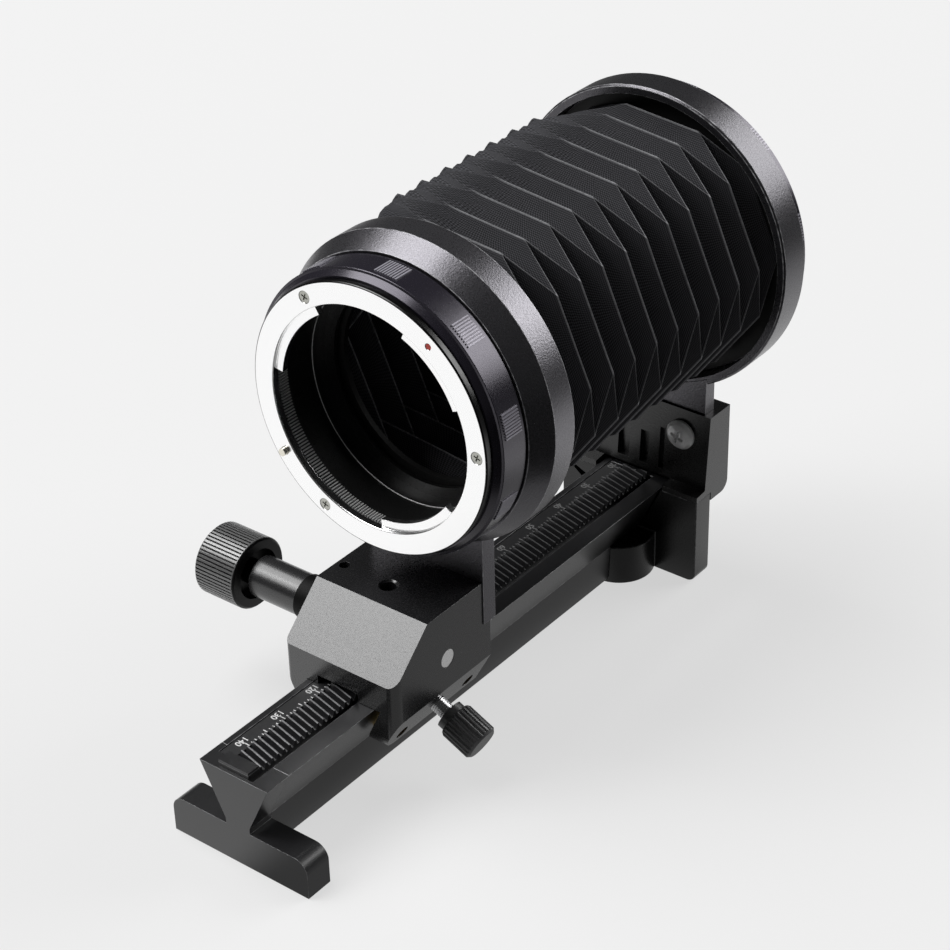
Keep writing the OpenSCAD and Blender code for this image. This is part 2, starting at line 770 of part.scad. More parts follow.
module front_frame() {
    color([0.06, 0.06, 0.06])
    lathe([[frame_hole_r, frame_y], [cavity_front_r - seat, frame_y],
           [cavity_front_r - seat, cloth_y], [frame_hole_r, cloth_y]]);
}

// how far the cloth stands out past its circle at fold k and angle a
function slack(k, a) = bulge * min(1, k / 9, (fold_count - k) / 3)
    * pow(max(0, cos(a - 115)), 2);

// the six corners of the cloth at one fold: even folds stand out on three sides,
// odd folds on the three sides between them
function corners(k, r) = let (
    h = k % 2 == 0 ? half_a : half_b,
    c = (k % 2 == 0 ? 90 : 30) - bellows_turn,
    y = cloth_y + k * fold_step)
    [for (s = [0 : 2]) for (e = [1, -1])
        let (a = c - 120 * s + e * h, q = r + slack(k, a))
            [q * cos(a), y, axis_z + q * sin(a)]];

// the folded cloth: each side is a row of flat panels between folds
module bellows() {
    n = fold_count;
    out = [for (k = [0 : n]) each corners(k, bellows_r)];
    inn = [for (k = [0 : n]) each corners(k, bellows_r - cloth)];
    m = 6 * (n + 1);
    pts = concat(out, inn);
    // even folds: edges 0-1, 2-3, 4-5 stand out; odd folds sit between them
    skin = [for (k = [0 : n - 1]) each
        (k % 2 == 0
            ? [for (s = [0 : 2]) each [
                [6 * k + 2 * s, 6 * k + 2 * s + 1, 6 * (k + 1) + 2 * s,
                 6 * (k + 1) + (2 * s + 5) % 6],
                [6 * k + 2 * s + 1, 6 * k + (2 * s + 2) % 6, 6 * (k + 1) + 2 * s + 1,
                 6 * (k + 1) + 2 * s]]]
            : [for (s = [0 : 2]) each [
                [6 * k + (2 * s + 5) % 6, 6 * k + 2 * s, 6 * (k + 1) + 2 * s + 1,
                 6 * (k + 1) + 2 * s],
                [6 * k + 2 * s, 6 * k + 2 * s + 1, 6 * (k + 1) + (2 * s + 2) % 6,
                 6 * (k + 1) + 2 * s + 1]]])];
    back = [for (f = skin) [m + f[3], m + f[2], m + f[1], m + f[0]]];
    rim0 = [for (i = [0 : 5]) [(i + 1) % 6, i, m + i, m + (i + 1) % 6]];
    rim1 = [for (i = [0 : 5]) [6 * n + i, 6 * n + (i + 1) % 6,
                               m + 6 * n + (i + 1) % 6, m + 6 * n + i]];
    color([0.16, 0.16, 0.18])
    polyhedron(points = pts, faces = concat(skin, back, rim0, rim1), convexity = 10);
}

module rear_frame() {
    color([0.06, 0.06, 0.06])
    lathe([[frame_hole_r, cloth_end], [rear_cavity_r - seat, cloth_end],
           [rear_cavity_r - seat, cloth_end + frame_t], [frame_hole_r, cloth_end + frame_t]]);
}

module rear_standard() {
    color([0.3, 0.3, 0.31])
    difference() {
        union() {
            lathe([[rear_cavity_r, rear_ring_y], [rear_r - 0.4, rear_ring_y],
                   [rear_r, rear_ring_y + 0.4], [rear_r, rear_ring_end],
                   [rear_spigot_r + fit, rear_ring_end], [rear_spigot_r + fit, rear_lip_y],
                   [baffle_in_r, rear_lip_y], [baffle_in_r, rear_floor_y],
                   [rear_cavity_r, rear_floor_y]]);
            difference() {
                translate([-rear_plate_w / 2, web_y, rail_top_z + 2.5])
                    cube([rear_plate_w, rear_plate_t, axis_z - rail_top_z - 2.5]);
                translate([0, web_y - 1, axis_z]) rotate([-90, 0, 0])
                    cylinder(r = rear_cavity_r + 0.6, h = rear_plate_t + 2);
            }
        }
        for (s = [-1, 1])
            translate([s * saddle_screw_pitch / 2, web_y - 1, saddle_screw_z])
                rotate([-90, 0, 0]) cylinder(r = saddle_screw_r + seat, h = rear_plate_t + 2, $fn = 48);
    }
}

module rear_mount_ring() {
    color([0.09, 0.09, 0.1])
    difference() {
        union() {
            lathe([[throat_r, rear_lip_y], [rear_spigot_r, rear_lip_y],
                   [rear_spigot_r, rear_ring_end], [rear_mount_r, rear_ring_end],
                   [rear_mount_r, rear_seat_y - 0.5],
                   [rear_mount_r - 0.5, rear_seat_y], [throat_r, rear_seat_y]]);
            for (k = [0 : 9]) for (i = [-4 : 4])
                translate([0, 0, axis_z])
                    rotate([0, -(14 + 36 * k + i * 1.2), 0])
                        translate([rear_mount_r - 0.4, rear_ring_end + 0.6, -0.17])
                            cube([0.55, rear_mount_l - 1.3, 0.34]);
        }
        for (a = rear_screw_as)
            on_face(a, screw_shank_r + fit, rear_ring_end + 1, rear_seat_y + 2, flange_pcd_r);
    }
}

module rear_bayonet() {
    y0 = rear_seat_y;
    plug = 5.2;
    color([0.93, 0.93, 0.93])
    difference() {
        union() {
            lathe([[throat_r - 1.6, y0], [flange_r, y0], [flange_r, y0 + 1.1],
                   [throat_r - 0.4, y0 + 1.1], [throat_r - 0.4, y0 + plug],
                   [throat_r - 1.6, y0 + plug]]);
            for (a = rear_screw_as)
                lug(a - 20, a + 26, throat_r - 0.7, throat_r + 1, y0 + plug - 1.8, y0 + plug - 0.2);
        }
        for (a = rear_screw_as)
            on_face(a, screw_head_r + fit, y0 + 0.35, y0 + 3, flange_pcd_r);
        for (a = rear_screw_as)
            on_face(a, screw_shank_r + fit, y0 - 1, y0 + 3, flange_pcd_r);
    }
}

module saddle() {
    c = 2.5;
    low = rail_top_z - 2.4;
    led = rear_foot_top;
    back = rear_foot_y + rear_foot_t;
    slot = 5.5;
    color([0.1, 0.1, 0.11])
    difference() {
        run_x(-saddle_half, saddle_half)
            difference() {
                polygon([[rear_foot_y, led], [rear_foot_y, led + 1.2],
                         [saddle_front - 1.4, led + 1.5], [saddle_front, saddle_top_z],
                         [saddle_back, saddle_top_z], [saddle_back, low],
                         [back, low], [back, led]]);
                difference() {
                    translate([saddle_back - c, low - 1]) square([c + 1, c + 1]);
                    translate([saddle_back - c, low + c]) circle(r = c);
                }
            }
        // room over the end of rail, strip and rack
        translate([-rail_half - 0.3, rear_foot_y - 1, rail_top_z - 3])
            cube([2 * rail_half + 0.6, rail_l + 0.3 - rear_foot_y + 1, 4.2]);
        // slot for the upright plate
        translate([-rear_plate_w / 2 - fit, web_y - fit, rail_top_z + 2.5])
            cube([rear_plate_w + 2 * fit, rear_plate_t + 2 * fit, big]);
        // upright grooves in the front: left edge, width and height over the rail's top
        for (g = saddle_grooves)
            translate([g[0], web_y - 4, rail_top_z + 2.6]) cube([g[1], 3.6, g[2] - 2.6]);
        // screw holes, with a flat seat under each head
        for (s = [-1, 1])
            translate([s * saddle_screw_pitch / 2, 0, saddle_screw_z]) rotate([-90, 0, 0]) {
                translate([0, 0, rear_foot_y])
                    cylinder(r = saddle_screw_r + seat, h = saddle_back - rear_foot_y - 0.7, $fn = 48);
                translate([0, 0, rear_foot_y - 3])
                    cylinder(r = saddle_head_r + 0.2, h = saddle_screw_y - rear_foot_y + 3);
            }
    }
}

module saddle_screws() {
    hy = saddle_screw_y;
    color([0.85, 0.85, 0.85])
    for (s = [-1, 1])
        translate([s * saddle_screw_pitch / 2, 0, saddle_screw_z])
            difference() {
                rotate([-90, 0, 0]) rotate_extrude()
                    polygon([[0, hy - 1.9], [saddle_head_r * 0.45, hy - 1.8],
                             [saddle_head_r * 0.8, hy - 1.3], [saddle_head_r, hy - 0.6],
                             [saddle_head_r, hy], [saddle_screw_r, hy],
                             [saddle_screw_r, hy + 7], [0, hy + 7]]);
                for (q = [20, 110])
                    translate([0, hy - 1.9, 0]) rotate([0, q, 0])
                        cube([3.2, 1.8, 0.7], center = true);
            }
}

set_down() rail();
set_down() front_foot();
set_down() rear_foot();
set_down() tripod_insert();
set_down() rack();
set_down() scale_strip();
set_down() carriage_block();
set_down() gib();
set_down() gib_screws();
set_down() lock_screw();
set_down() lock_knob();
set_down() shaft_tube();
set_down() tube_collar();
set_down() pinion_shaft();
set_down() pinion_gear();
set_down() focus_knob();
set_down() front_standard();
set_down() front_mount_ring();
set_down() bayonet_flange();
set_down() flange_screws();
set_down() index_dot();
set_down() lock_pin();
set_down() throat_baffle();
set_down() front_frame();
set_down() bellows();
set_down() rear_frame();
set_down() rear_standard();
set_down() rear_mount_ring();
set_down() rear_bayonet();
set_down() saddle();
set_down() saddle_screws();
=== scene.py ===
import json
import math
import random

import bpy
import bmesh
import numpy as np
from mathutils import Matrix, Vector


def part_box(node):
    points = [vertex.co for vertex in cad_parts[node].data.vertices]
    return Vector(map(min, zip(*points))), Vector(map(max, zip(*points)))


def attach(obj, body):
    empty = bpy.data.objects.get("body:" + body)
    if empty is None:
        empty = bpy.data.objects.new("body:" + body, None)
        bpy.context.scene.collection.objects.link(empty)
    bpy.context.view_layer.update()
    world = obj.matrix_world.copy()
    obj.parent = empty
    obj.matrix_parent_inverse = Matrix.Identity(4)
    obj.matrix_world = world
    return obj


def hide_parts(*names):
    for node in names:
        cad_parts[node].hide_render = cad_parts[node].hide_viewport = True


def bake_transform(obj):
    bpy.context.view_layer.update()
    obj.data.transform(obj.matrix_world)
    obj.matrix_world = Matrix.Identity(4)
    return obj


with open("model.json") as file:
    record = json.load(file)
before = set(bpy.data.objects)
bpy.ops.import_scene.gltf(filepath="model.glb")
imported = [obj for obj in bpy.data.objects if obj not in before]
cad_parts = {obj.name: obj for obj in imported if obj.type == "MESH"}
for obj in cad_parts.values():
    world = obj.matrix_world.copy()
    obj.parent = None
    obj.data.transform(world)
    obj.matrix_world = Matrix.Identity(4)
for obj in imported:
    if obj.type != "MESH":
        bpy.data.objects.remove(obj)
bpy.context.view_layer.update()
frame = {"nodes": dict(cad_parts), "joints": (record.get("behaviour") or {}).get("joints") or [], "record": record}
NODES = frame["nodes"]
JOINTS = {j["name"]: j for j in frame["joints"]}
SCENE = bpy.context.scene
M = 0.001


def corners(node):
    """The lowest and highest corner of a CAD node at rest, in millimetres."""
    return [[round(v / M, 2) for v in corner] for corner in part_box(node)]


# sizes and places in millimetres, with y from the rail's front edge and z from the ground
SOCKET_Y = -corners("front_foot")[0][1]
FLANGE = corners("bayonet_flange")
FLANGE_R = FLANGE[1][0]
# how much of the flange's outer rim lies in shade
FLANGE_RIM = 0.32
AXIS_Z = (FLANGE[0][2] + FLANGE[1][2]) / 2
RAIL_TOP = corners("rail")[1][2]
RACK_TOP = RAIL_TOP + 0.8
THROAT_R = 23.0
BORE_R = THROAT_R + 0.5
# above these radii the mount rings are ridges of their grips, whose tops are painted light as a painted highlight
RIDGE_R = corners("front_mount_ring")[1][0] + 0.1
REAR_RIDGE_R = corners("rear_mount_ring")[1][0] + 0.04
# the focus knob: its hub stands inwards of its inner face, and its grooves go below its skin; the grooves and the
# inner side are painted dark, as painted shade
KNOB = corners("focus_knob")
KNOB_HUB = 0.8
KNOB_X = KNOB[1][0] - KNOB_HUB
KNOB_R = (KNOB[1][2] - KNOB[0][2]) / 2
KNOB_SKIN, KNOB_EDGE = 0.12, 0.35

# the camera of the photograph, fitted to edges read from it, in degrees and millimetres
CAMERA_AZIMUTH, CAMERA_HEIGHT, CAMERA_ROLL = 38.545, 32.131, -1.477
CAMERA_AT = (254.903, -246.508, 305.540)
SENSOR, LENS = 36.0, 92.906


def at(x, y, z):
    """Millimetres from the rail's front edge and the ground, as a point of the frame."""
    return Vector((x * M, (y - SOCKET_Y) * M, z * M))


def around(r, angle, y):
    """The point at radius r and an angle in radians round the optical axis."""
    return at(r * math.cos(angle), y, AXIS_Z + r * math.sin(angle))


def camera():
    """The camera of the photograph."""
    az, el, roll = (math.radians(a) for a in (CAMERA_AZIMUTH, CAMERA_HEIGHT, CAMERA_ROLL))
    ahead = Vector((-math.sin(az) * math.cos(el), math.cos(az) * math.cos(el), -math.sin(el)))
    right = Vector((math.cos(az), math.sin(az), 0))
    up = right.cross(ahead)
    c, s = math.cos(roll), math.sin(roll)
    axis_x = c * right + s * up
    axis_y = c * up - s * right
    turn = Matrix((axis_x, axis_y, -ahead)).transposed().to_4x4()
    data = bpy.data.cameras.new("camera")
    data.sensor_width = SENSOR
    data.lens = LENS
    data.clip_start = 0.01
    data.clip_end = 20
    cam = bpy.data.objects.new("camera", data)
    SCENE.collection.objects.link(cam)
    cam.matrix_world = Matrix.Translation(at(*CAMERA_AT)) @ turn
    SCENE.camera = cam


camera()

# materials, all from nodes
# a grey painted on rounded edges, knob ridges and rack tips: a painted highlight, on the edges together with
# rubbed wear
HIGHLIGHT_AND_WEAR_GREY = (0.34, 0.34, 0.35)
BRASS = (0.68, 0.52, 0.24)
# how bright the rack's tooth tips are painted at these two places along the frame, in metres: a painted highlight
# in front that fades into painted shade under the bellows
RACK_SHADE_Y, RACK_TIP_LIGHT = (-0.123, -0.060), (0.9, 0.28)


def grey(v):
    return (v, v, v)


def scaled(col, k):
    return tuple(min(1.0, c * k) for c in col)


class Material:
    """A Principled material and short ways to wire nodes into it."""

    def __init__(self, name):
        self.data = bpy.data.materials.new(name)
        self.data.use_nodes = True
        self.tree = self.data.node_tree
        self.tree.nodes.clear()
        self.out = self.node("ShaderNodeOutputMaterial")
        self.shader = self.node("ShaderNodeBsdfPrincipled")
        self.tree.links.new(self.shader.outputs[0], self.out.inputs[0])
        self.place = self.node("ShaderNodeTexCoord").outputs["Object"]

    def node(self, kind, **kw):
        """A new node of a kind, with its settings."""
        made = self.tree.nodes.new(kind)
        for k, v in kw.items():
            setattr(made, k, v)
        return made

    def feed(self, sock, v):
        """Link an output to a socket, or set the socket to a plain value."""
        if hasattr(v, "is_output"):
            self.tree.links.new(v, sock)
        elif isinstance(v, (tuple, list)):
            sock.default_value = (*v, 1) if len(v) == 3 and len(sock.default_value) == 4 else v
        else:
            sock.default_value = v

    def set(self, **kw):
        """Feed the shader's own sockets, with _ for each space in a socket's name."""
        for k, v in kw.items():
            self.feed(self.shader.inputs[k.replace("_", " ")], v)

    def axes(self, coord=None):
        """The x, y and z of a coordinate, the object's own if none is given."""
        split = self.node("ShaderNodeSeparateXYZ")
        self.feed(split.inputs[0], coord or self.place)
        return split.outputs[0], split.outputs[1], split.outputs[2]

    def stretched(self, scale):
        """The object's own coordinate with its axes scaled."""
        mapping = self.node("ShaderNodeMapping")
        mapping.inputs["Scale"].default_value = scale
        self.feed(mapping.inputs[0], self.place)
        return mapping.outputs[0]

    def noise(self, scale, detail=2, coord=None):
        noise = self.node("ShaderNodeTexNoise")
        noise.inputs["Scale"].default_value = scale
        noise.inputs["Detail"].default_value = detail
        self.feed(noise.inputs["Vector"], coord or self.place)
        return noise.outputs[0]

    def ramp(self, fac, *stops):
        """Greys between (place, value) stops."""
        ramp = self.node("ShaderNodeValToRGB")
        marks = ramp.color_ramp.elements
        while len(marks) < len(stops):
            marks.new(0.5)
        for mark, (position, value) in zip(marks, stops):
            mark.position = position
            mark.color = (*grey(value), 1)
        self.feed(ramp.inputs[0], fac)
        return ramp.outputs[0]

    def calc(self, op, a, b=0.5):
        """One step of arithmetic."""
        maths = self.node("ShaderNodeMath", operation=op)
        self.feed(maths.inputs[0], a)
        self.feed(maths.inputs[1], b)
        return maths.outputs[0]

    def times(self, a, b):
        return self.calc("MULTIPLY", a, b)

    def mix(self, fac, a, b):
        """The colour a where fac is 0 and b where it is 1."""
        mix = self.node("ShaderNodeMix", data_type="RGBA")
        for sock, v in ((mix.inputs["Factor"], fac), (mix.inputs[6], a), (mix.inputs[7], b)):
            self.feed(sock, v)
        return mix.outputs[2]

    def between(self, value, start, end, low=0.0, high=1.0, kind="SMOOTHSTEP"):
        """From low where a value is start to high where it is end."""
        step = self.node("ShaderNodeMapRange", interpolation_type=kind)
        for i, v in enumerate((value, start, end, low, high)):
            self.feed(step.inputs[i], v)
        return step.outputs[0]

    def length(self, one, two):
        """The length of a vector with the sides one and two."""
        square = self.calc("ADD", self.times(one, one), self.times(two, two))
        return self.calc("SQRT", square)

    def off_axis(self):
        """The distance from the optical axis."""
        x, _, z = self.axes()
        return self.length(x, self.calc("SUBTRACT", z, AXIS_Z * M))

    def bump(self, height, strength, depth):
        """Small relief, with its depth in millimetres."""
        relief = self.node("ShaderNodeBump")
        relief.inputs["Strength"].default_value = strength
        relief.inputs["Distance"].default_value = depth * M
        self.feed(relief.inputs["Height"], height)
        self.feed(self.shader.inputs["Normal"], relief.outputs[0])

    def attr(self, name):
        """A mark that the mesh carries."""
        return self.node("ShaderNodeAttribute", attribute_name=name).outputs["Fac"]

    def edge_wear(self, base, brightened, amount):
        """Rounded edges painted lighter, broken up by noise: a painted highlight along the edges, together with
        rubbed wear.
        """
        patchy = self.ramp(self.noise(700, 3), (0.35, 0.15), (0.65, 1.0))
        return self.mix(self.times(self.attr("edge"), self.times(patchy, amount)), base, brightened)


def satin(name, col, rough=0.34, level=1.0, grain=0.06, edge_light_and_wear=0.3):
    """Dark satin metal: nearly black itself, its tone comes from what it mirrors."""
    mat = Material(name)
    fine = mat.noise(5200)
    tone = mat.mix(fine, scaled(col, 0.75), scaled(col, 1.3))
    # the rounded edges are painted lighter: a painted highlight with rubbed wear
    mat.set(Base_Color=mat.edge_wear(tone, HIGHLIGHT_AND_WEAR_GREY, edge_light_and_wear), Specular_IOR_Level=level)
    mat.set(Roughness=mat.ramp(fine, (0.3, rough - 0.04), (0.7, rough + 0.06)))
    mat.bump(fine, grain, 0.05)
    return mat.data


def crinkle(name, col, ior=1.5):
    """Hard crinkle paint: close small bumps that sparkle under the lamps."""
    mat = Material(name)
    size = 2600
    cells = mat.node("ShaderNodeTexVoronoi", feature="SMOOTH_F1")
    cells.inputs["Scale"].default_value = size
    cells.inputs["Smoothness"].default_value = 0.5
    mat.feed(cells.inputs["Vector"], mat.place)
    fine = mat.noise(size * 1.7, 3)
    tone = mat.mix(fine, scaled(col, 0.8), scaled(col, 1.3))
    # the rounded edges are painted pale grey: a painted highlight with rubbed wear
    mat.set(Base_Color=mat.edge_wear(tone, (0.6, 0.6, 0.62), 0.8))
    mat.set(Roughness=mat.ramp(fine, (0.35, 0.25), (0.65, 0.38)))
    mat.set(IOR=ior, Specular_IOR_Level=1.0, Specular_Tint=(0.95, 0.92, 1.0))
    mat.bump(mat.calc("ADD", cells.outputs["Distance"], mat.times(fine, 0.7)), 0.30, 0.05)
    return mat.data


def metal(name, col, rough=0.25, brush=(1, 1, 1), grain=0.03):
    """Bare metal, with its noise stretched by brush."""
    mat = Material(name)
    fine = mat.noise(1800, 3, coord=mat.stretched(brush))
    mat.set(Base_Color=mat.mix(fine, scaled(col, 0.92), col), Metallic=1.0)
    mat.set(Roughness=mat.ramp(fine, (0.3, rough - 0.05), (0.7, rough + 0.06)))
    mat.bump(fine, grain, 0.03)
    return mat.data


def plastic(name, col, rough):
    """Dull black plastic."""
    mat = Material(name)
    fine = mat.noise(3200)
    tone = mat.mix(fine, scaled(col, 0.75), scaled(col, 1.25))
    mat.set(Base_Color=mat.edge_wear(tone, grey(0.2), 0.3))
    mat.set(Roughness=mat.ramp(fine, (0.3, rough - 0.06), (0.7, rough + 0.06)))
    mat.bump(fine, 0.1, 0.04)
    return mat.data


def rack_material():
    """Black rack whose tooth tips are painted bright, a painted highlight that fades towards the rear into painted
    shade under the bellows.
    """
    mat = Material("rack_black")
    fine = mat.noise(2400, 3)
    _, y, z = mat.axes()
    over = mat.calc("GREATER_THAN", z, (RACK_TOP - 0.05) * M)
    under = mat.calc("LESS_THAN", z, (RACK_TOP + 0.05) * M)
    # the tips' painted highlight, fading towards the rear as painted shade
    brightened = mat.between(y, *RACK_SHADE_Y, *RACK_TIP_LIGHT, kind="LINEAR")
    patchy = mat.times(mat.ramp(fine, (0.3, 0.5), (0.6, 1.0)), brightened)
    tip = mat.times(mat.times(over, under), patchy)
    mat.set(Base_Color=mat.mix(tip, (0.010, 0.010, 0.011), HIGHLIGHT_AND_WEAR_GREY), Specular_IOR_Level=0.8)
    mat.set(Roughness=mat.ramp(fine, (0.3, 0.3), (0.7, 0.4)))
    mat.bump(fine, 0.05, 0.03)
    return mat.data


def flange_material():
    """Satin chrome, its outer rim in shade."""
    mat = Material("flange_chrome")
    fine = mat.noise(2600)
    rim = mat.calc("GREATER_THAN", mat.off_axis(), (FLANGE_R - FLANGE_RIM) * M)
    tone = mat.mix(fine, grey(0.97), grey(1.0))
    mat.set(Base_Color=mat.mix(rim, tone, grey(0.05)), Metallic=1.0)
    mat.set(Roughness=mat.ramp(fine, (0.3, 0.20), (0.7, 0.25)))
    return mat.data


def cast_material():
    """Cast black block, its skin full of fine bright grains."""
    mat = Material("block_cast")
    fine = mat.noise(3000)
    grains = mat.ramp(mat.noise(3600), (0.58, 0.0), (0.74, 0.35))
    tone = mat.mix(fine, (0.008, 0.008, 0.009), (0.014, 0.014, 0.015))
    # the rounded edges are painted lighter: a painted highlight with rubbed wear
    tone = mat.edge_wear(tone, (0.30, 0.30, 0.31), 0.35)
    mat.set(Base_Color=mat.mix(grains, tone, grey(0.14)), Metallic=grains)
    mat.set(Roughness=mat.ramp(fine, (0.3, 0.22), (0.7, 0.30)), Specular_IOR_Level=1.0)
    mat.bump(fine, 0.10, 0.05)
    return mat.data


def knob_material():
    """Turned black knob: the tops of its ridges painted bright, a painted highlight with wear, and its grooves and
    inner side painted dark as painted shade.
    """
    mat = Material("knob_black")
    fine = mat.noise(5200)
    _, shaft_y, shaft_z = JOINTS["focus_turn"]["pos_m"]
    x, y, z = mat.axes()
    radius = mat.length(mat.calc("SUBTRACT", y, shaft_y), mat.calc("SUBTRACT", z, shaft_z))
    groove_shade = mat.calc("LESS_THAN", radius, (KNOB_R - KNOB_SKIN) * M)
    inner = mat.calc("GREATER_THAN", x, (KNOB_X - KNOB_EDGE) * M)
    # painted shade in the grooves and on the inner side
    dark = mat.calc("MAXIMUM", groove_shade, inner)
    tone = mat.edge_wear(mat.mix(fine, grey(0.10), grey(0.16)), HIGHLIGHT_AND_WEAR_GREY, 0.8)
    mat.set(Base_Color=mat.mix(dark, tone, grey(0.022)), Metallic=dark)
    mat.set(Roughness=mat.ramp(dark, (0.0, 0.26), (1.0, 0.50)), Specular_IOR_Level=1.0)
    mat.bump(fine, 0.05, 0.05)
    return mat.data


def mount_material(name, ridge_r):
    """Black ring with a violet shine; the tops of its ridges are painted violet grey, a painted highlight."""
    mat = Material(name)
    fine = mat.noise(4200)
    ridge_highlight = mat.calc("GREATER_THAN", mat.off_axis(), ridge_r * M)
    tone = mat.mix(fine, (0.010, 0.009, 0.013), (0.016, 0.014, 0.021))
    # painted highlight on the tops of the ridges
    mat.set(Base_Color=mat.mix(mat.times(ridge_highlight, 0.7), tone, (0.40, 0.39, 0.44)))
    mat.set(Roughness=mat.ramp(fine, (0.3, 0.20), (0.7, 0.28)))
    mat.set(Specular_IOR_Level=0.7, Specular_Tint=(0.93, 0.88, 1.0))
    mat.bump(fine, 0.02, 0.03)
    return mat.data


CHARCOAL = satin("charcoal", (0.012, 0.012, 0.013), 0.32, level=0.70, edge_light_and_wear=0.8)
MATERIALS = {
    "rail": CHARCOAL,
    "front_foot": CHARCOAL,
    # the rear foot: the rail's black painted darker and duller, as painted shade under the bellows
    "rear_foot": satin("rear_black_painted_shade", grey(0.005), 0.30, level=0.4),
    "tripod_insert": metal("brass_insert", BRASS, 0.3),
    "rack": rack_material(),
    "scale_strip": satin("strip_black", (0.012, 0.012, 0.013), 0.4, level=0.8),
    "carriage_block": cast_material(),
    "gib": metal("brass_gib", BRASS, 0.35),
    "gib_screws": satin("brass_screw", (0.80, 0.50, 0.12), 0.3, grain=0.02, edge_light_and_wear=0),
    "lock_screw": metal("bright_thread", (0.82, 0.82, 0.83), 0.22),
    "lock_knob": satin("lock_black", (0.040, 0.040, 0.041), 0.3, edge_light_and_wear=0.9),
    "shaft_tube": satin("tube_satin", (0.020, 0.020, 0.021), 0.27, level=0.78, grain=0.04),
    "tube_collar": satin("collar_black", grey(0.004), 0.5, level=0.1, edge_light_and_wear=0),
    "pinion_shaft": metal("shaft_steel", grey(1.0), 0.3, brush=(6, 1, 1)),
    "pinion_gear": metal("gear_metal", (0.62, 0.52, 0.32), 0.3),
    "focus_knob": knob_material(),
    "front_standard": crinkle("crinkle_front", (0.011, 0.011, 0.012), ior=1.7),
    "front_mount_ring": mount_material("mount_black", RIDGE_R),
    "bayonet_flange": flange_material(),
    "flange_screws": metal("screw_grey", (0.50, 0.50, 0.46), 0.4),
    "index_dot": satin("dot_red", (0.60, 0.05, 0.03), 0.35, level=0.5, edge_light_and_wear=0),
    "lock_pin": metal("pin_steel", (0.8, 0.77, 0.68), 0.25),
    "throat_baffle": satin("throat_black", grey(0.006), 0.3, edge_light_and_wear=0.6),
    "front_frame": plastic("frame_black", grey(0.006), 0.6),
    "rear_frame": plastic("frame_black_rear", grey(0.006), 0.6),
    "rear_standard": crinkle("crinkle_rear", (0.011, 0.011, 0.012)),
    "rear_mount_ring": mount_material("mount_black_rear", REAR_RIDGE_R),
    "rear_bayonet": metal("bayonet_chrome", grey(0.9), 0.22, grain=0.01),
    # the saddle's black painted darker and duller, as painted shade under the bellows
    "saddle": satin("saddle_black", grey(0.006), 0.28, level=0.5, edge_light_and_wear=0.4),
    "saddle_screws": satin("screw_bright", grey(0.92), 0.2, edge_light_and_wear=0),
}
for name, ob in NODES.items():
    if name in MATERIALS:
        ob.data.materials.clear()
        ob.data.materials.append(MATERIALS[name])


# making pieces
def piece(name, mesh, body, mat, replaces=None, smooth=True):
    """Put a mesh in the scene as a piece that rides on a body."""
    ob = bpy.data.objects.new(name, mesh)
    SCENE.collection.objects.link(ob)
    mesh.materials.clear()
    mesh.materials.append(mat)
    mesh.polygons.foreach_set("use_smooth", [smooth] * len(mesh.polygons))
    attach(ob, body)
    if replaces:
        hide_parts(replaces)


def mesh_of(name, bm, mend=True):
    """The mesh of a bmesh, its faces turned outwards where mend is set."""
    if mend:
        bmesh.ops.recalc_face_normals(bm, faces=bm.faces)
    mesh = bpy.data.meshes.new(name)
    bm.to_mesh(mesh)
    bm.free()
    return mesh


def evaluated(ob):
    """A new mesh of what an object shows, with its modifiers."""
    depsgraph = bpy.context.evaluated_depsgraph_get()
    return bpy.data.meshes.new_from_object(ob.evaluated_get(depsgraph),
                                           preserve_all_data_layers=True, depsgraph=depsgraph)


def body_of(node):
    bodies = frame["record"]["behaviour"]["bodies"]
    return next(b for b, nodes in bodies.items() if node in nodes)


# how wide the edges of these CAD nodes are rounded, where they turn by more than the angle
EDGE_WIDTHS = {
    "rail": 0.2,
    "front_foot": 0.3,
    "rear_foot": 0.3,
    "carriage_block": 0.4,
    "saddle": 0.3,
    "front_standard": 0.2,
    "rear_standard": 0.2,
    "shaft_tube": 0.3,
    "bayonet_flange": 0.12,
    "focus_knob": 0.06,
    "lock_knob": 0.07,
    "saddle_screws": 0.12,
}
EDGE_ANGLE = 20


def finished(node, width):
    """A copy of a CAD node with its edges rounded by width, that stands for it."""
    bm = bmesh.new()
    bm.from_mesh(NODES[node].data)
    bmesh.ops.remove_doubles(bm, verts=bm.verts, dist=2e-6)
    bmesh.ops.dissolve_limit(bm, angle_limit=math.radians(0.5), verts=bm.verts, edges=bm.edges)
    raw = mesh_of(node + "_raw", bm, mend=False)
    raw.polygons.foreach_set("use_smooth", [True] * len(raw.polygons))
    # a second slot, on which the rounded faces are told apart
    raw.materials.append(MATERIALS[node])
    raw.materials.append(MATERIALS[node])
    raw.polygons.foreach_set("material_index", [0] * len(raw.polygons))
    tmp = bpy.data.objects.new(node + "_raw", raw)
    SCENE.collection.objects.link(tmp)
    bevel = tmp.modifiers.new("edges", "BEVEL")
    bevel.width = width * M
    bevel.segments = 2
    bevel.limit_method = "ANGLE"
    bevel.angle_limit = math.radians(EDGE_ANGLE)
    bevel.material = 1
    normals = tmp.modifiers.new("normals", "WEIGHTED_NORMAL")
    normals.weight = 100
    mesh = evaluated(tmp)
    bpy.data.objects.remove(tmp)
    bpy.data.meshes.remove(raw)
    # the rounded faces carry a mark on which the materials paint the edges lighter, a painted highlight with
    # rubbed wear
    edge = mesh.attributes.new("edge", "FLOAT", "FACE")
    edge.data.foreach_set("value", [float(f.material_index) for f in mesh.polygons])
    mesh.polygons.foreach_set("material_index", [0] * len(mesh.polygons))
    mesh.name = node + "_finished"
    piece(node + "_finished", mesh, body_of(node), MATERIALS[node], node)


for node, width in EDGE_WIDTHS.items():
    finished(node, width)

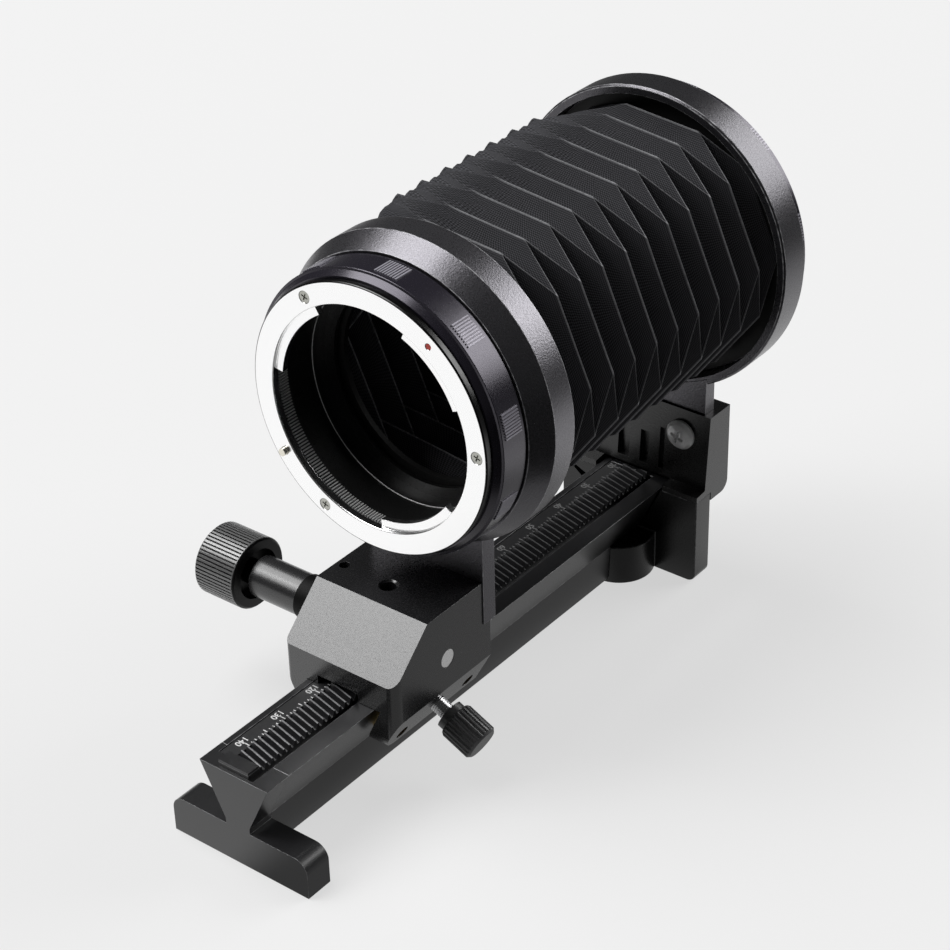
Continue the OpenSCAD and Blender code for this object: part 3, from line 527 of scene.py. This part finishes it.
# the pleated cloth: six corners at each fold, which stand in pairs on three sides
CLOTH = corners("bellows")
CLOTH_Y0, CLOTH_Y1 = CLOTH[0][1] + SOCKET_Y, CLOTH[1][1] + SOCKET_Y
FOLDS = 21
FOLD = (CLOTH_Y1 - CLOTH_Y0) / FOLDS
CLOTH_R, CLOTH_T = 29.4, 0.95
# how far the folds are turned round the axis, and half of what a short side spans, in degrees
TURN = 6.15
HALF_EVEN, HALF_ODD = 17.0, 18.3
# how far a corner strays along the axis, and how deep the panels are hollow, more or less
SWAY = 0.2
HOLLOW, HOLLOW_SWING = 0.16, 0.09
# the dots of the twill stand this far apart
WEAVE = 0.58
# how far along a panel the points of the mesh stand, closer together beside the creases
ACROSS = [0.0, 0.012, 0.05, 0.14, 0.3, 0.5, 0.7, 0.86, 0.95, 0.988]
ALONG = [0.0, 0.06, 0.16, 0.32, 0.5, 0.68, 0.84, 0.94]
# the rounded shoulder at the upper left: where it is, how wide, its radius and its waves
SHOULDER_A, SHOULDER_W = 122.0, 24.0
SHOULDER_R, SHOULDER_WAVE = 32.9, 0.55
# it rises behind its start and falls before its end, over these lengths
SHOULDER_Y0, SHOULDER_RISE = 62.0, 9
SHOULDER_Y1, SHOULDER_FALL = 134.0, 16
# how much the creases are rubbed at these angles: least at the top, not at all on the shoulder
RUBBED_AT = (-180, 60, 75, 96, 106, 150, 165)
RUBBED_BY = (0.8, 1.0, 0.5, 0.5, 0.0, 0.0, 0.8)


def fold_corner(k, c):
    """Corner c of fold k, as (x, z) from the optical axis."""
    half = HALF_EVEN if k % 2 == 0 else HALF_ODD
    middle = (90 if k % 2 == 0 else 30) - TURN - 120 * (c // 2)
    a = math.radians(middle + (half if c % 2 == 0 else -half))
    return np.array([CLOTH_R * math.cos(a), CLOTH_R * math.sin(a)])


def fold_ring(k, sway):
    """The points of fold k, six straight sides."""
    pts = []
    for c in range(6):
        a, b = (c, (c + 1) % 6) if k % 2 == 0 else ((c + 5) % 6, c)
        pa, pb = fold_corner(k, a), fold_corner(k, b)
        ya, yb = (0, 0) if k in (0, FOLDS) else (sway[k][a], sway[k][b])
        for t in ACROSS:
            xz = pa * (1 - t) + pb * t
            pts.append((xz[0], CLOTH_Y0 + FOLD * k + ya * (1 - t) + yb * t, xz[1]))
    return np.array(pts)


def angle_of(p):
    return np.degrees(np.arctan2(p[:, 2], p[:, 0]))


def hollowed(p, k, f):
    """Make the panels after fold k a little hollow, at the row a share f along them."""
    for i in range(len(p)):
        c, j = divmod(i, len(ACROSS))
        hollow = HOLLOW + HOLLOW_SWING * math.sin(7.3 * k + 2.1 * c)
        d = hollow * math.sin(math.pi * f) * math.sin(math.pi * ACROSS[j])
        r = math.hypot(p[i][0], p[i][2])
        p[i][0] *= 1 - d / r
        p[i][2] *= 1 - d / r
    return p


def crease_marks(p, k, f):
    """Marks on the outer and the inner folds; the short sides are outer, the long ones inner."""
    n = len(ACROSS)
    outer, inner = np.zeros((2, 6 * n))
    for c in range(6):
        short = (c % 2 == 0) == (k % 2 == 0)
        if f == 0:
            (outer if short else inner)[c * n:(c + 1) * n] = 1
        outer[c * n] = max(outer[c * n], 0.75)
    outer *= np.interp(angle_of(p), RUBBED_AT, RUBBED_BY)
    return outer, inner


def shoulder(p):
    """Round out the upper left of the cloth, where its folds run over a soft bump."""
    off = np.clip(1 - np.abs(angle_of(p) - SHOULDER_A) / SHOULDER_W, 0, 1)
    rise = np.clip((p[:, 1] - SHOULDER_Y0) / SHOULDER_RISE, 0, 1)
    fall = np.clip((SHOULDER_Y1 - p[:, 1]) / SHOULDER_FALL, 0, 1)
    w = off * off * (3 - 2 * off) * rise * fall
    r = np.hypot(p[:, 0], p[:, 2])
    wave = np.cos(np.pi * (p[:, 1] - CLOTH_Y0) / FOLD)
    k = 1 + w * ((SHOULDER_R + SHOULDER_WAVE * wave) / r - 1)
    p[:, 0] *= k
    p[:, 2] *= k
    return p


def cloth_skin():
    """Rows of points from the front frame to the rear one, with marks on outer and inner folds."""
    rnd = random.Random(11)
    sway = [[rnd.uniform(-SWAY, SWAY) for _ in range(6)] for _ in range(FOLDS + 1)]
    rings = [fold_ring(k, sway) for k in range(FOLDS + 1)]
    rows, marks = [], []
    for k in range(FOLDS):
        for f in ALONG:
            p = hollowed(rings[k] * (1 - f) + rings[k + 1] * f, k, f)
            marks.append(crease_marks(p, k, f))
            rows.append(shoulder(p))
    rows.append(rings[-1])
    marks.append(np.zeros((2, 6 * len(ACROSS))))
    return np.array(rows), np.array(marks)


def cloth_material():
    """Black twill of fine dots, its creases rubbed lighter."""
    mat = Material("bellows_twill")
    across, along, _ = mat.axes(mat.node("ShaderNodeTexCoord").outputs["UV"])
    thread = math.pi / (WEAVE * M)
    one = mat.calc("SINE", mat.times(mat.calc("ADD", across, along), thread))
    two = mat.calc("SINE", mat.times(mat.calc("SUBTRACT", across, along), thread))
    dots = mat.times(one, two)
    fuzz = mat.noise(3000, 3)
    broad = mat.noise(120)
    lift = mat.ramp(mat.calc("ADD", mat.times(dots, 0.5), 0.5), (0.3, 0.0), (0.8, 1.0))
    tone = mat.mix(lift, (0.012, 0.012, 0.013), (0.082, 0.082, 0.091))
    tone = mat.mix(mat.times(fuzz, 0.15), tone, (0.060, 0.060, 0.065))
    tone = mat.mix(mat.times(broad, 0.35), tone, (0.022, 0.022, 0.025))
    rubbed = mat.times(mat.attr("crease"), mat.ramp(fuzz, (0.35, 0.6), (0.6, 1.0)))
    mat.set(Base_Color=mat.mix(mat.times(rubbed, 0.9), tone, (0.50, 0.50, 0.52)), Roughness=0.7)
    mat.set(Specular_IOR_Level=0.15, Sheen_Weight=0.02, Sheen_Roughness=0.4)
    mat.bump(mat.calc("ADD", dots, fuzz), 0.35, 0.04)
    return mat.data


def cloth_mesh(outer, marks):
    """A closed mesh of the cloth's two skins, with its weave in the UV map in real size."""
    nrow, ncol = outer.shape[:2]
    radius = np.hypot(outer[:, :, 0], outer[:, :, 2])
    inner = outer.copy()
    for axis in (0, 2):
        inner[:, :, axis] *= 1 - CLOTH_T / radius
    bm = bmesh.new()
    uv = bm.loops.layers.uv.new("UVMap")
    crease = bm.verts.layers.float.new("crease")
    grid = {}
    for s, skin in enumerate((outer, inner)):
        for i in range(nrow):
            for j in range(ncol):
                x, y, z = skin[i][j]
                v = bm.verts.new(at(x, y, AXIS_Z + z))
                v[crease] = marks[i][s][j]
                grid[s, i, j] = v
    middle = outer[len(ALONG) // 2]
    steps = np.linalg.norm(np.roll(middle, -1, 0) - middle, axis=1)
    wide = np.concatenate([[0], np.cumsum(steps)])
    down = np.concatenate([[0], np.cumsum(np.linalg.norm(np.diff(outer, axis=0), axis=2).mean(1))])
    for s in (0, 1):
        for i in range(nrow - 1):
            for j in range(ncol):
                k = (j + 1) % ncol
                quad = [(i, j, j), (i, k, j + 1), (i + 1, k, j + 1), (i + 1, j, j)]
                if s:
                    quad.reverse()
                face = bm.faces.new([grid[s, a, b] for a, b, _ in quad])
                for loop, (a, _, c) in zip(face.loops, quad):
                    loop[uv].uv = (wide[c] * M, down[a] * M)
    for i in (0, nrow - 1):
        for j in range(ncol):
            k = (j + 1) % ncol
            bm.faces.new([grid[0, i, j], grid[1, i, j], grid[1, i, k], grid[0, i, k]])
    return mesh_of("bellows_cloth", bm)


def bellows():
    """The pleated cloth between the carriage and the base."""
    mesh = cloth_mesh(*cloth_skin())
    mesh.materials.append(cloth_material())
    mesh.polygons.foreach_set("use_smooth", [True] * len(mesh.polygons))
    ob = bpy.data.objects.new("bellows_cloth", mesh)
    SCENE.collection.objects.link(ob)
    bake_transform(ob)
    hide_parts("bellows")


bellows()

# the printed scale, counted from the lens end backwards
SCALE_ZERO_Y = 8.41
SCALE_END_Y = 129.4
SCALE_HIGH, SCALE_LOW = 140, 20
# a mark at every so many millimetres, from one x to another, and its width
TICKS = ((10, -4.85, -3.5, 0.26), (5, -4.6, -3.6, 0.24), (1, -4.05, -3.5, 0.2))
NUMBER_X, NUMBER_HIGH, NUMBER_BOLD = -5.55, 1.95, 0.035
INK = 0.018
INK_Z = RAIL_TOP + INK / 2 + 0.002
# painted darker between these places of the frame, in metres, as painted shade under the bellows
INK_SHADE_Y0, INK_SHADE_Y1 = -0.110, -0.050


def add_number(bm, text, y):
    """A printed number, read from the right side of the rail."""
    curve = bpy.data.curves.new("number", "FONT")
    curve.body = text
    curve.size = NUMBER_HIGH * M
    curve.align_x = "CENTER"
    curve.align_y = "CENTER"
    curve.extrude = INK / 2 * M
    curve.offset = NUMBER_BOLD * M
    ob = bpy.data.objects.new("number", curve)
    SCENE.collection.objects.link(ob)
    bpy.context.view_layer.update()
    mesh = evaluated(ob)
    turn = Matrix.Rotation(math.radians(-90), 4, "Z")
    mesh.transform(Matrix.Translation(at(NUMBER_X, y, INK_Z)) @ turn)
    bm.from_mesh(mesh)
    bpy.data.objects.remove(ob)
    bpy.data.curves.remove(curve)
    bpy.data.meshes.remove(mesh)


def add_tick(bm, y, x0, x1, width):
    size = Matrix.Diagonal(((x1 - x0) * M, width * M, INK * M, 1))
    place = Matrix.Translation(at((x0 + x1) / 2, y, INK_Z))
    bmesh.ops.create_cube(bm, size=1, matrix=place @ size)


def ink_material():
    """White ink, worn in spots, and painted darker towards the rear as painted shade under the bellows."""
    mat = Material("scale_white")
    patchy = mat.ramp(mat.noise(1800, 3), (0.3, 0.0), (0.55, 1.0))
    ink = mat.mix(patchy, grey(0.42), grey(0.80))
    # painted shade towards the rear
    rear_shade = mat.between(mat.axes()[1], INK_SHADE_Y0, INK_SHADE_Y1)
    mat.set(Base_Color=mat.mix(rear_shade, ink, grey(0.20)), Roughness=0.5)
    return mat.data


def scale_marks():
    """Ticks every millimetre, longer every 5 and 10, with a number at every 10."""
    bm = bmesh.new()
    for n in range(SCALE_HIGH, SCALE_LOW - 1, -1):
        y = SCALE_ZERO_Y + SCALE_HIGH - n
        if y > SCALE_END_Y:
            break
        _, *mark = next(t for t in TICKS if n % t[0] == 0)
        add_tick(bm, y, *mark)
        if n % 10 == 0:
            add_number(bm, str(n), y)
    mesh = mesh_of("scale_marks", bm)
    piece("scale_marks", mesh, "base", ink_material(), smooth=False)


scale_marks()

# threads
LOCK_THREAD = dict(length=9.6, r_out=1.75, depth=0.22, pitch=0.48)
TRIPOD_THREAD = dict(length=6.7, r_out=3.17, depth=0.5, pitch=1.27)
LOCK_START, TRIPOD_START = 0.05, 0.15
SLEEVE_WALL = 0.02
THREAD_AROUND, THREAD_PER_TURN = 40, 8
# a thread tapers off over this share of its pitch, and this slope leaves its crest flat
TAPER, FLANK = 0.7, 1.35


def helix(origin, axis, length, r_out, depth, pitch, taper=True):
    """Rows of points on a thread round an axis; lengths in millimetres, origin in the frame."""
    a = Vector(axis).normalized()
    u = a.orthogonal().normalized()
    v = a.cross(u)
    rows = int(length / pitch * THREAD_PER_TURN) + 1
    out = []
    for i in range(rows):
        h = length * i / (rows - 1)
        ends = min(1.0, min(h, length - h) / (pitch * TAPER)) if taper else 1.0
        row = []
        for j in range(THREAD_AROUND):
            t = 2 * math.pi * j / THREAD_AROUND
            phase = (h / pitch - j / THREAD_AROUND) % 1.0
            r = r_out - depth * (1 - min(1.0, abs(2 * phase - 1) * FLANK)) - (1 - ends) * depth
            row.append(origin + (a * h + (u * math.cos(t) + v * math.sin(t)) * r) * M)
        out.append(row)
    return out


def join_rows(bm, low, high):
    """A band of faces between two rows of corners that close round."""
    n = len(low)
    for j in range(n):
        k = (j + 1) % n
        bm.faces.new([low[j], low[k], high[k], high[j]])


def skin_rows(bm, rows):
    """Faces between rows of points that close round; returns the first and last row."""
    grid = [[bm.verts.new(p) for p in row] for row in rows]
    for low, high in zip(grid, grid[1:]):
        join_rows(bm, low, high)
    return grid[0], grid[-1]


def lock_thread():
    """The bright thread of the lock screw, closed at both ends."""
    joint = JOINTS["lock_turn"]
    axis = Vector(joint["axis"])
    start = Vector(joint["pos_m"]) + axis * LOCK_START * M
    bm = bmesh.new()
    first, last = skin_rows(bm, helix(start, axis, **LOCK_THREAD))
    bm.faces.new(list(reversed(first)))
    bm.faces.new(last)
    mesh = mesh_of("lock_thread", bm)
    piece("lock_thread", mesh, "lock", MATERIALS["lock_screw"], "lock_screw")


def tripod_thread():
    """The thread inside the brass insert, a thin sleeve."""
    start = at(0, SOCKET_Y, TRIPOD_START)
    bm = bmesh.new()
    first, last = skin_rows(bm, helix(start, (0, 0, 1), taper=False, **TRIPOD_THREAD))
    plain = dict(TRIPOD_THREAD, r_out=TRIPOD_THREAD["r_out"] + SLEEVE_WALL, depth=0.0)
    outer = helix(start, (0, 0, 1), taper=False, **plain)
    low, high = skin_rows(bm, [outer[0], outer[-1]])
    join_rows(bm, low, first)
    join_rows(bm, last, high)
    piece("tripod_thread", mesh_of("tripod_thread", bm), "base", MATERIALS["tripod_insert"])


lock_thread()
tripod_thread()

# inside the throat
RIB_COUNT, RIB_SHARE, RIB_NARROW = 240, 0.56, 0.6
RIB_FOOT, RIB_TOP = THROAT_R + 0.52, THROAT_R + 0.2
RIB_Y0, RIB_Y1 = 44.3, 46.7
RIM_Y, RIM_POINTS, RIM_HIGH, RIM_WIDE = 54.0, 120, 0.16, 0.24


def rib(bm, a, half):
    """One rib of the throat's wall, at angle a and half as wide at its foot."""
    narrow = half * RIB_NARROW
    ring = []
    for y in (RIB_Y0, RIB_Y1):
        for r, da in ((RIB_FOOT, -half), (RIB_TOP, -narrow), (RIB_TOP, narrow), (RIB_FOOT, half)):
            ring.append(bm.verts.new(around(r, a + da, y)))
    for q in ((0, 1, 5, 4), (1, 2, 6, 5), (2, 3, 7, 6), (3, 0, 4, 7), (0, 3, 2, 1), (4, 5, 6, 7)):
        bm.faces.new([ring[k] for k in q])


def throat_ribs():
    """Fine ribs along the wall of the throat, painted light grey on the black throat as a painted highlight."""
    bm = bmesh.new()
    for i in range(RIB_COUNT):
        rib(bm, 2 * math.pi * i / RIB_COUNT, math.pi / RIB_COUNT * RIB_SHARE)
    # the ribs are painted light grey: a painted highlight
    bright = satin("rib_painted_highlight", grey(0.48), 0.3, edge_light_and_wear=0)
    mesh = mesh_of("throat_ribs", bm)
    piece("throat_ribs", mesh, "carriage", bright, smooth=False)


def throat_rim():
    """The edge of the step in the throat's bore, a thin ring painted light grey as a painted highlight."""
    foot = BORE_R + 0.02
    top = foot - RIM_HIGH
    half = RIM_WIDE / 2
    turns = [2 * math.pi * i / RIM_POINTS for i in range(RIM_POINTS)]
    bm = bmesh.new()
    rows = []
    for r, y in ((foot, -half), (top, -half / 2), (top, half / 2), (foot, half)):
        rows.append([around(r, a, RIM_Y + y) for a in turns])
    first, last = skin_rows(bm, rows)
    join_rows(bm, last, first)
    # the ring is painted light grey: a painted highlight
    bright = satin("rim_painted_highlight", grey(0.55), 0.25, edge_light_and_wear=0)
    piece("throat_rim", mesh_of("throat_rim", bm), "carriage", bright)


throat_ribs()
throat_rim()

# floor and light: a white floor under three soft boxes, in a dark room
FLOOR_HALF, FLOOR_DROP = 4, 0.0001
FLOOR_ALBEDO, FLOOR_GLOW = 0.22, 0.61
ROOM_LIGHT, WALL_SEEN = 0.05, 0.86
# a lamp's name, its place in degrees from +Y towards +X and above the ground, the steradians
# that it fills as seen from the part, and how many times as wide as high it is
LAMPS = (
    ("key", -104, 62, 0.50, 0.9),
    ("front", -134, 44, 0.19, 1.0),
    ("back", 25, 27, 0.40, 1.3),
)
LAMP_AWAY, LAMP_LIGHT = 2.5, 5.6
LAMPS_ROUND = (0, 75, 45)
# what the part mirrors, in metres: a table, dimmer beyond its edge and at the right, and a painted shadow beside
# the part
TABLE_X, TABLE_Y = -0.08, -0.15
TABLE_EDGE, TABLE_DIM = (0.28, 0.57), 0.85
BESIDE_X, BESIDE_Y, BESIDE_DIM = (-0.005, 0.008), (0.020, -0.010), 0.68
RIGHT_X, RIGHT_Y, RIGHT_DIM = (0.065, 0.090), (0.010, -0.030), 0.94


def dimmed(mat, mask, amount):
    """1 where the mask is 0, less by amount where it is 1."""
    return mat.calc("SUBTRACT", 1.0, mat.times(mask, amount))


def mirrored_floor(mat):
    """How bright the part sees the floor: a white table, dark beyond it and at the right, with a painted shadow
    beside the part.
    """
    x, y, _ = mat.axes()
    away = mat.length(mat.calc("SUBTRACT", x, TABLE_X), mat.calc("SUBTRACT", y, TABLE_Y))
    table = dimmed(mat, mat.between(away, *TABLE_EDGE), TABLE_DIM)
    # a painted shadow on the floor beside the part, seen only in reflections
    painted_shadow_beside = mat.times(mat.between(x, *BESIDE_X), mat.between(y, *BESIDE_Y))
    right = mat.times(mat.between(x, *RIGHT_X), mat.between(y, *RIGHT_Y))
    level = mat.times(table, dimmed(mat, painted_shadow_beside, BESIDE_DIM))
    return mat.times(level, dimmed(mat, right, RIGHT_DIM))


def floor_material():
    """Pale to the camera, a table in reflections, and a dull diffuse floor to the light."""
    mat = Material("floor_white")
    mat.tree.nodes.remove(mat.shader)
    matt = mat.node("ShaderNodeBsdfDiffuse")
    mat.feed(matt.inputs[0], grey(FLOOR_ALBEDO))
    ray = mat.node("ShaderNodeLightPath")
    glow = mat.node("ShaderNodeEmission")
    mat.feed(glow.inputs[1], mat.times(ray.outputs["Is Camera Ray"], FLOOR_GLOW))
    seen = mat.node("ShaderNodeAddShader")
    mat.feed(seen.inputs[0], matt.outputs[0])
    mat.feed(seen.inputs[1], glow.outputs[0])
    mirrored = mat.node("ShaderNodeEmission")
    mat.feed(mirrored.inputs[1], mirrored_floor(mat))
    either = mat.node("ShaderNodeMixShader")
    mat.feed(either.inputs[0], ray.outputs["Is Glossy Ray"])
    mat.feed(either.inputs[1], seen.outputs[0])
    mat.feed(either.inputs[2], mirrored.outputs[0])
    mat.feed(mat.out.inputs[0], either.outputs[0])
    return mat.data


def floor():
    half, z = FLOOR_HALF, -FLOOR_DROP
    mesh = bpy.data.meshes.new("floor")
    places = [(-half, -half, z), (half, -half, z), (half, half, z), (-half, half, z)]
    mesh.from_pydata(places, [], [(0, 1, 2, 3)])
    mesh.materials.append(floor_material())
    ob = bpy.data.objects.new("floor", mesh)
    SCENE.collection.objects.link(ob)


def soft_box(name, azimuth, height, solid_angle, aspect):
    """A rectangular lamp that faces the part."""
    space = solid_angle * LAMP_AWAY ** 2
    data = bpy.data.lights.new(name, "AREA")
    data.shape = "RECTANGLE"
    data.size = math.sqrt(space * aspect)
    data.size_y = math.sqrt(space / aspect)
    data.energy = math.pi * space * LAMP_LIGHT
    ob = bpy.data.objects.new(name, data)
    SCENE.collection.objects.link(ob)
    az, el = math.radians(azimuth), math.radians(height)
    way = Vector((math.sin(az) * math.cos(el), math.cos(az) * math.cos(el), math.sin(el)))
    turn = way.to_track_quat("Z", "Y").to_matrix().to_4x4()
    ob.matrix_world = Matrix.Translation(at(*LAMPS_ROUND) + way * LAMP_AWAY) @ turn


def room():
    """A dark room, whose walls the camera sees as pale as the floor."""
    world = bpy.data.worlds.new("room")
    SCENE.world = world
    world.use_nodes = True
    tree = world.node_tree
    tree.nodes.clear()
    out = tree.nodes.new("ShaderNodeOutputWorld")
    back = tree.nodes.new("ShaderNodeBackground")
    back.inputs[0].default_value = (1, 1, 1, 1)
    ray = tree.nodes.new("ShaderNodeLightPath")
    light = tree.nodes.new("ShaderNodeMapRange")
    light.inputs["To Min"].default_value = ROOM_LIGHT
    light.inputs["To Max"].default_value = WALL_SEEN
    tree.links.new(ray.outputs["Is Camera Ray"], light.inputs["Value"])
    tree.links.new(light.outputs[0], back.inputs[1])
    tree.links.new(back.outputs[0], out.inputs[0])


floor()
for lamp in LAMPS:
    soft_box(*lamp)
room()

SCENE.view_settings.view_transform = "Standard"
